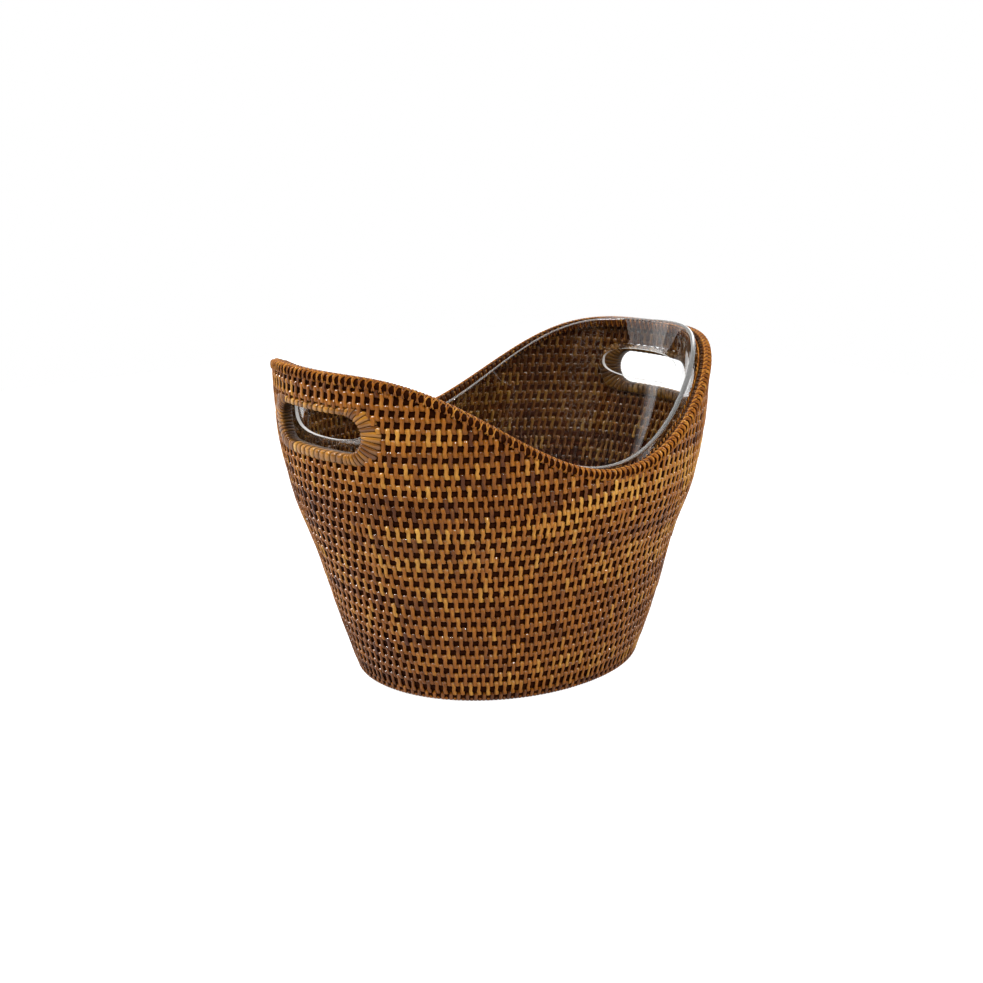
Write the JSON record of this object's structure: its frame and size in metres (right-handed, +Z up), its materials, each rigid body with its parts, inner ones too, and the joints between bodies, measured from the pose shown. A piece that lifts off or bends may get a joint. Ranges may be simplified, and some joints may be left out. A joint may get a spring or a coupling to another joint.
{
  "type": "wine bucket",
  "caption": "Oval woven rattan wine bucket with a dipped rim, raised ends with wound handle holes and a loose clear acrylic liner that lifts out.",
  "frame": {"origin": "centre of the plane that the bucket stands on", "axes": "+Z up; +X along the length, through the handle hole at the right end; +Y across the width"},
  "size_m": [0.3256, 0.2426, 0.224],
  "materials": {
    "rattan_wall": "woven split rattan, varnished honey to brown",
    "rattan_rim": "braided rattan, varnished",
    "rattan_wrap": "wound split rattan, light honey, varnished",
    "rattan_core": "round rattan core, dark, satin",
    "rattan_foot": "woven rattan, brown, satin",
    "clear_acrylic": "clear acrylic, polished, faint grey-blue edges"
  },
  "bodies": {
    "basket": {"base_hoop": "rattan_foot", "base_floor": "rattan_foot", "wall_row_01": "rattan_wall", "wall_row_02": "rattan_wall", "wall_row_03": "rattan_wall", "wall_row_04": "rattan_wall", "wall_row_05": "rattan_wall", "wall_row_06": "rattan_wall", "wall_row_07": "rattan_wall", "wall_row_08": "rattan_wall", "wall_row_09": "rattan_wall", "wall_row_10": "rattan_wall", "wall_row_11": "rattan_wall", "wall_row_12": "rattan_wall", "wall_row_13": "rattan_wall", "wall_row_14": "rattan_wall", "wall_row_15": "rattan_wall", "wall_row_16": "rattan_wall", "wall_row_17": "rattan_wall", "wall_row_18": "rattan_wall", "wall_row_19": "rattan_wall", "wall_row_20": "rattan_wall", "raised_end_left": "rattan_wall", "raised_end_right": "rattan_wall", "rim_core": "rattan_core", "rim_braid": "rattan_rim", "rim_ledge": "rattan_rim", "handle_band_left": "rattan_core", "handle_band_right": "rattan_core", "handle_wrap_left": "rattan_wrap", "handle_wrap_right": "rattan_wrap"},
    "liner": {"liner": "clear_acrylic"}
  },
  "joints": [
    {"name": "liner_lift", "type": "slide", "parent": "basket", "child": "liner", "axis": [0, 0, 1], "range_m": [0, 0.24]}
  ]
}
